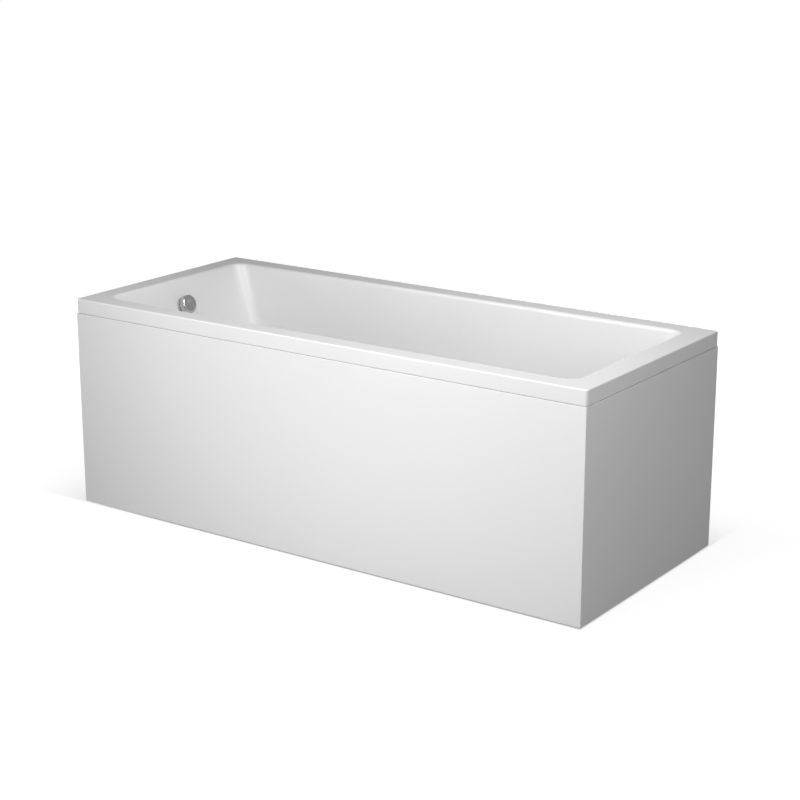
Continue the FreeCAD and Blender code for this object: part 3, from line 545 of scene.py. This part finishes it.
# Plastics and rubber: dark and light tone, least and most roughness, scale and strength of the grain
plastics = {
    "black_plastic": ((0.022, 0.022, 0.023), (0.034, 0.034, 0.035), 0.42, 0.58, 900, 0.2),
    "black_rubber": ((0.016, 0.016, 0.016), (0.026, 0.026, 0.026), 0.62, 0.80, 700, 0.2),
    "white_plastic": ((0.70, 0.70, 0.68), (0.76, 0.76, 0.74), 0.30, 0.44, 500, 0.08),
    "grey_hose": ((0.38, 0.39, 0.40), (0.45, 0.46, 0.47), 0.34, 0.48, 400, 0.08),
    "black_cable": ((0.020, 0.020, 0.021), (0.032, 0.032, 0.033), 0.34, 0.50, 600, 0.1),
}
finishes = {
    "white_acrylic": acrylic("white_acrylic", gloss=0.08, waviness=0.02),
    "panel_acrylic": acrylic("panel_acrylic", gloss=0.22, waviness=0.012),
    "glass_fibre": glass_fibre(),
    "chipboard": chipboard(),
    "timber": timber("timber_along", stretch=(2.5, 70, 70)),
    "timber_across": timber("timber_across", stretch=(70, 2.5, 70)),
    "zinc_steel": galvanised(),
    "zinc_fastener": plated("zinc_fastener", (0.52, 0.52, 0.48), (0.66, 0.65, 0.60), 0.22, 0.38),
    "chrome": chrome(),
    "brass": plated("brass", (0.52, 0.38, 0.15), (0.70, 0.54, 0.25), 0.22, 0.40),
    **{name: moulded(name, *look) for name, look in plastics.items()},
}

# Nodes whose finish differs from their slot's own
special = {
    "front_panel": "panel_acrylic",
    "end_panel": "panel_acrylic",
    "rim_batten_foot": "timber_across",
    "rim_batten_head": "timber_across",
}
for subpart in frame["record"]["subparts"]:
    name = subpart["node"]
    for place in nodes[name].material_slots:
        place.material = finishes[special.get(name, subpart["material_slot"])]


# Ribbed hose and cable between overflow and waste

overflow_place = Vector(joints["knob_turn"]["pos_m"])
overflow_out = Vector(joints["knob_turn"]["axis"]).normalized()
wall_down = ACROSS.cross(overflow_out).normalized()
drain = Vector(joints["plug_lift"]["pos_m"])


def down_to(start, height):
    """Where a line down the foot wall from start reaches a height."""
    return start + wall_down * ((start.z - height) / -wall_down.z)


def hose_line():
    """From the overflow down the foot wall, and along under the well to the waste."""
    start = overflow_place - overflow_out * hose_axis_depth + wall_down * hose_start_drop
    corner = down_to(start, hose_port_height)
    bend_start = corner - wall_down * hose_bend_reach
    bend_end = corner + ALONG * hose_bend_reach
    end = Vector((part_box("waste_body")[0].x, 0, hose_port_height))
    return spline_line([start, bend_start, corner, bend_end, end])


def hose_radius_at(distance, length):
    """Plain cuffs at both ends, rounded ribs between them."""
    ribs = int((length - 2 * hose_cuff) / hose_pitch)
    first = (length - ribs * hose_pitch) / 2
    if distance < first or distance > length - first:
        return hose_radius
    turn = 2 * math.pi * (distance - first) / hose_pitch
    wave = 0.5 + 0.5 * math.cos(turn)
    return hose_valley + (hose_radius - hose_valley) * wave ** rib_power


def make_hose():
    points, faces = swept(hose_line(), hose_radius_at, hose_pitch / rings_per_rib, hose_sides)
    hose = add_piece("ribbed_hose", points, faces, "bath", finishes["grey_hose"])
    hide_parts("overflow_hose")


def cable_line():
    """Down the foot wall beside the overflow, under the well to the waste, and up into its gland."""
    beside = overflow_place - overflow_out * hose_axis_depth + ACROSS * cable_side
    start = beside + wall_down * cable_start_drop
    corner = down_to(start, cable_low)
    under = Vector((drain.x, 0, cable_low))
    end = Vector((drain.x, 0, cable_gland_low))
    sideways = (under - corner).normalized()
    bend_start = corner - wall_down * cable_bend_reach
    bend_end = corner + sideways * cable_bend_reach
    return spline_line([start, bend_start, corner, bend_end, under - sideways * cable_end_reach, under, end])


def make_cable():
    points, faces = swept(cable_line(), lambda distance, length: cable_radius, cable_step, cable_sides)
    cable = add_piece("bowden_sheath", points, faces, "bath", finishes["black_cable"])
    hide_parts("bowden_cable")


# Knob of the overflow


def knob_rows():
    """Rings of the knob, from the inside of the cup round to the middle of its face."""
    back = knob_reach - knob_wall
    hub_low = back - knob_hub_depth
    inner = knob_radius - knob_wall
    rows = [
        round_row(back, knob_tip), round_row(back, knob_bore), round_row(hub_low, knob_bore),
        round_row(hub_low, knob_hub_radius), round_row(back, knob_hub_radius), round_row(back, inner),
        round_row(knob_gap, inner), round_row(knob_gap, knob_radius),
    ]
    for step in range(knob_edge_steps + 1):
        angle = math.pi / 2 * step / knob_edge_steps
        height = knob_reach - knob_edge * (1 - math.sin(angle))
        rows.append(round_row(height, knob_radius - knob_edge * (1 - math.cos(angle))))
    dish_radius = knob_radius - 2 * knob_edge
    for step in range(1, knob_dish_steps + 1):
        share = 1 - step / knob_dish_steps
        drop = knob_dish * (1 + math.cos(math.pi * share)) / 2
        rows.append(round_row(knob_reach - drop, max(knob_tip, dish_radius * share)))
    return rows


def make_knob():
    """Turned knob with a smoothly dished face."""
    across = overflow_out.orthogonal().normalized()
    points, faces = lathe(overflow_place, overflow_out, across, knob_rows(), knob_sides)
    knob = add_piece("turned_knob", points, faces, "knob", finishes["chrome"])
    knob.data.set_sharp_from_angle(angle=knob_crease)
    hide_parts("overflow_knob")


# Threaded rods, lock nuts and screws


def thread_row(height, room, radius, depth, pitch):
    """Lathe row of a thread with flat crests and roots, nowhere wider than the room it has."""
    def at(angle):
        phase = (height / pitch - angle / (2 * math.pi)) % 1.0
        ridge = min(1.0, max(0.0, (thread_root - abs(phase - 0.5)) * thread_flank))
        return height, min(room, radius - depth * (1 - ridge))
    return at


def hex_row(height):
    """Lathe row of a hexagon."""
    sixth = math.pi / 3
    return lambda angle: (height, hex_flats / 2 / math.cos(angle % sixth - sixth / 2))


def hex_rows(low, high):
    """Hexagon between two heights, its corners chamfered at both ends."""
    return [
        round_row(low, hex_flats / 2), hex_row(low + hex_chamfer),
        hex_row(high - hex_chamfer), round_row(high, hex_flats / 2),
    ]


def make_rod(number):
    """Threaded rod with the hexagon for a spanner; its foot end sits in the pad."""
    node = f"leg_rod_{number}"
    low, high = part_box(node)
    pad_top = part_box(f"foot_pad_{number}")[1].z
    hex_top = pad_top + hex_height
    rows = [round_row(low.z, rod_radius), round_row(pad_top, rod_radius), *hex_rows(pad_top, hex_top)]
    rows.append(round_row(hex_top, rod_radius))
    threaded = high.z - hex_top
    steps = round(threaded / (rod_pitch / rings_per_rod_pitch))
    for step in range(1, steps + 1):
        height = hex_top + threaded * step / steps
        room = rod_radius - rod_chamfer + high.z - height
        rows.append(thread_row(height, room, rod_radius, rod_thread_depth, rod_pitch))
    middle = (low + high) / 2
    points, faces = lathe(Vector((middle.x, middle.y, 0)), UP, ALONG, rows, rod_sides)
    rod = add_piece(f"threaded_rod_{number}", points, faces, f"foot_{number}",
                    finishes["zinc_fastener"], smooth=False)
    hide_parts(node)


def make_nuts(node):
    """Chamfered hexagon nuts in place of the plain ones."""
    points, faces = [], []
    for group in islands(node):
        low, high = box_of(group)
        middle = (low + high) / 2
        base = Vector((middle.x, middle.y, 0))
        bore_low, bore_high = round_row(low.z, nut_bore_radius), round_row(high.z, nut_bore_radius)
        rows = [bore_low, *hex_rows(low.z, high.z), bore_high, bore_low]
        add_solid(points, faces, lathe(base, UP, ALONG, rows, nut_sides, closed_ends=False))
    nuts = add_piece(node + "_chamfered", points, faces, "bath",
                     finishes["zinc_fastener"], smooth=False)
    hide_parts(node)


def screw_seat(points):
    """Tip of a screw and the direction to its head, from the corner points of its CAD solid."""
    for axis in (ALONG, ACROSS, UP, overflow_out):
        heights = [point.dot(axis) for point in points]
        low, high = min(heights), max(heights)
        if abs(high - low - screw_length) > length_tolerance:
            continue
        middle = sum((point - axis * point.dot(axis) for point in points), Vector()) / len(points)
        wide = [height for point, height in zip(points, heights)
                if (point - axis * height - middle).length > (screw_radius + head_radius) / 2]
        if sum(wide) / len(wide) > (low + high) / 2:
            return middle + axis * low, axis
        return middle + axis * high, -axis
    raise ValueError("no axis fits a screw")


def shank_rows():
    """Thread of a screw, from its point to its head."""
    shank = screw_length - head_height
    steps = round(shank / screw_pitch * rings_per_screw_pitch)
    rows = []
    for step in range(steps + 1):
        height = shank * step / steps
        room = screw_radius * min(1.0, (height + screw_tip) / screw_point)
        rows.append(thread_row(height, room, screw_radius, screw_thread_depth, screw_pitch))
    return rows


def head_row(height, radius):
    """Lathe row of a screw head, lower inside the cross."""
    def at(angle):
        arms = sorted((abs(radius * math.cos(angle)), abs(radius * math.sin(angle))))
        if height < screw_length or arms[0] > recess_width / 2 or arms[1] >= recess_reach * recess_end:
            return height, radius
        return height - recess_depth * (1 - recess_rise * arms[1] / recess_reach), radius
    return at


def head_rows():
    """Pan head of a screw, from its underside to the middle of its recess."""
    low = screw_length - head_height
    rows = [head_row(low, screw_radius), head_row(low, head_radius)]
    for step in range(head_dome_steps + 1):
        angle = step / head_dome_steps * math.pi / 2
        height = low + head_height * (head_upright + (1 - head_upright) * math.sin(angle))
        rows.append(head_row(height, recess_reach + (head_radius - recess_reach) * math.cos(angle)))
    return rows + [head_row(screw_length, recess_reach * share) for share in recess_rings]


def make_screws(node):
    """Cross-recess screws in place of the plain ones."""
    points, faces = [], []
    for group in islands(node):
        tip, direction = screw_seat(group)
        across = direction.orthogonal().normalized()
        add_solid(points, faces, lathe(tip, direction, across, shank_rows(), screw_sides))
        add_solid(points, faces, lathe(tip, direction, across, head_rows(), head_sides))
    screws = add_piece(node + "_recessed", points, faces, "bath",
                       finishes["zinc_fastener"], smooth=False)
    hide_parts(node)


# Studio: pale floor, white surround, soft lamps


def shown_rays(tree):
    """Value that is 1 for the rays that show a surface itself: camera, glossy and transmission rays."""
    light = add_node(tree, "LightPath")
    shown = light.outputs["Is Camera Ray"]
    for ray in ("Is Glossy Ray", "Is Transmission Ray"):
        shown = math_node(tree, "MAXIMUM", shown, light.outputs[ray])
    return shown


def floor_glow_painted_shadow(tree):
    """Glow of the floor with painted shadow: dark under the bath, sharp-edged at the panels, soft at the open
    sides, and dimmer beside the bath.
    """
    place = add_node(tree, "SeparateXYZ", {"Vector": add_node(tree, "TexCoord").outputs["Object"]})
    x, y = place.outputs["X"], place.outputs["Y"]
    low, high = cad_box
    front = math_node(tree, "SUBTRACT", low[1], y)
    right = math_node(tree, "SUBTRACT", x, high[0])
    back = math_node(tree, "SUBTRACT", y, high[1])
    left = math_node(tree, "SUBTRACT", low[0], x)
    panelled = math_node(tree, "MAXIMUM", front, right)
    unpanelled = math_node(tree, "MAXIMUM", back, left)
    outside = math_node(tree, "MAXIMUM", panelled, unpanelled)
    # Painted shade: the glow is dimmer beside the bath and rises to the open glow further out
    around = ranged(tree, outside, open_shade, painted_shade_near_glow, open_glow, "SMOOTHSTEP")
    # Painted shadow under the bath: its edge is sharp at the panels and soft at the open sides
    sharp = ranged(tree, panelled, panel_shade, painted_shadow_glow, around, "SMOOTHSTEP")
    soft = ranged(tree, unpanelled, back_shade, painted_shadow_glow, around, "SMOOTHSTEP")
    return math_node(tree, "MAXIMUM", sharp, soft)


def make_floor():
    """White floor: it glows for the camera and for reflections, and takes the bath's shadow, partly real and
    partly painted into its glow.
    """
    mesh = bpy.data.meshes.new("floor")
    signs = ((-1, -1), (1, -1), (1, 1), (-1, 1))
    corners = [(floor_half * x, floor_half * y, floor_height) for x, y in signs]
    mesh.from_pydata(corners, [], [(0, 1, 2, 3)])
    floor = bpy.data.objects.new("floor", mesh)
    bpy.context.scene.collection.objects.link(floor)
    material = bpy.data.materials.new("floor")
    material.use_nodes = True
    tree = material.node_tree
    tree.nodes.remove(tree.nodes["Principled BSDF"])
    diffuse = add_node(tree, "BsdfDiffuse", {"Color": (floor_tone, floor_tone, floor_tone, 1)})
    # The glow carries painted shadow under and beside the bath
    strength = math_node(tree, "MULTIPLY", shown_rays(tree), floor_glow_painted_shadow(tree))
    glow = add_node(tree, "Emission", {"Strength": strength})
    both = add_node(tree, "AddShader", {0: diffuse.outputs["BSDF"], 1: glow.outputs["Emission"]})
    tree.links.new(both.outputs["Shader"], tree.nodes["Material Output"].inputs["Surface"])
    material.cycles.emission_sampling = "NONE"
    mesh.materials.append(material)


def make_world():
    """Studio surround: white at the horizon, grey overhead, and only a weak light by itself."""
    world = bpy.data.worlds.new("surround")
    bpy.context.scene.world = world
    world.use_nodes = True
    world.cycles.sampling_method = "NONE"
    tree = world.node_tree
    direction = add_node(tree, "TexCoord").outputs["Generated"]
    height = add_node(tree, "SeparateXYZ", {"Vector": direction}).outputs["Z"]
    span = (math.sin(horizon_white), math.sin(overhead_from))
    shade = ranged(tree, height, span, 1.0, overhead_tone, "SMOOTHSTEP")
    background = tree.nodes["Background"]
    background.inputs["Color"].default_value = (1, 1, 1, 1)
    strength = ranged(tree, shown_rays(tree), (0, 1), ambient, shade, "SMOOTHSTEP")
    tree.links.new(strength, background.inputs["Strength"])


def make_lamp(name, place, size, power):
    """Soft rectangular lamp, turned to the middle of the bath."""
    lamp = bpy.data.lights.new(name, "AREA")
    lamp.shape = "RECTANGLE"
    lamp.size, lamp.size_y = size
    lamp.energy = power
    holder = bpy.data.objects.new(name, lamp)
    holder.location = place
    holder.visible_camera = False
    holder.rotation_mode = "QUATERNION"
    holder.rotation_quaternion = (lamp_target - Vector(place)).to_track_quat("-Z", "Y")
    bpy.context.scene.collection.objects.link(holder)


def make_camera():
    """Camera at the photograph's viewing angle."""
    eye = bpy.data.cameras.new("camera")
    eye.sensor_width = sensor_width
    eye.lens = focal_pixels / picture_side * sensor_width
    eye.shift_x = (picture_side / 2 - principal_x) / picture_side
    eye.shift_y = (principal_y - picture_side / 2) / picture_side
    eye.clip_end = camera_reach
    holder = bpy.data.objects.new("camera", eye)
    holder.location = camera_place
    level = math.cos(camera_elevation)
    back = Vector((math.sin(camera_azimuth) * level, -math.cos(camera_azimuth) * level,
                   math.sin(camera_elevation)))
    holder.rotation_mode = "QUATERNION"
    holder.rotation_quaternion = (-back).to_track_quat("-Z", "Y")
    bpy.context.scene.collection.objects.link(holder)
    bpy.context.scene.camera = holder


make_hose()
make_cable()
make_knob()
for number in rod_numbers:
    make_rod(number)
make_nuts("lock_nuts_upper")
make_nuts("lock_nuts_lower")
for node in sorted(nodes):
    if node.endswith("_screws"):
        make_screws(node)
make_floor()
make_world()
for name, (place, size, power) in lamps.items():
    make_lamp(name, place, size, power)
make_camera()
bpy.context.scene.view_settings.view_transform = "Standard"
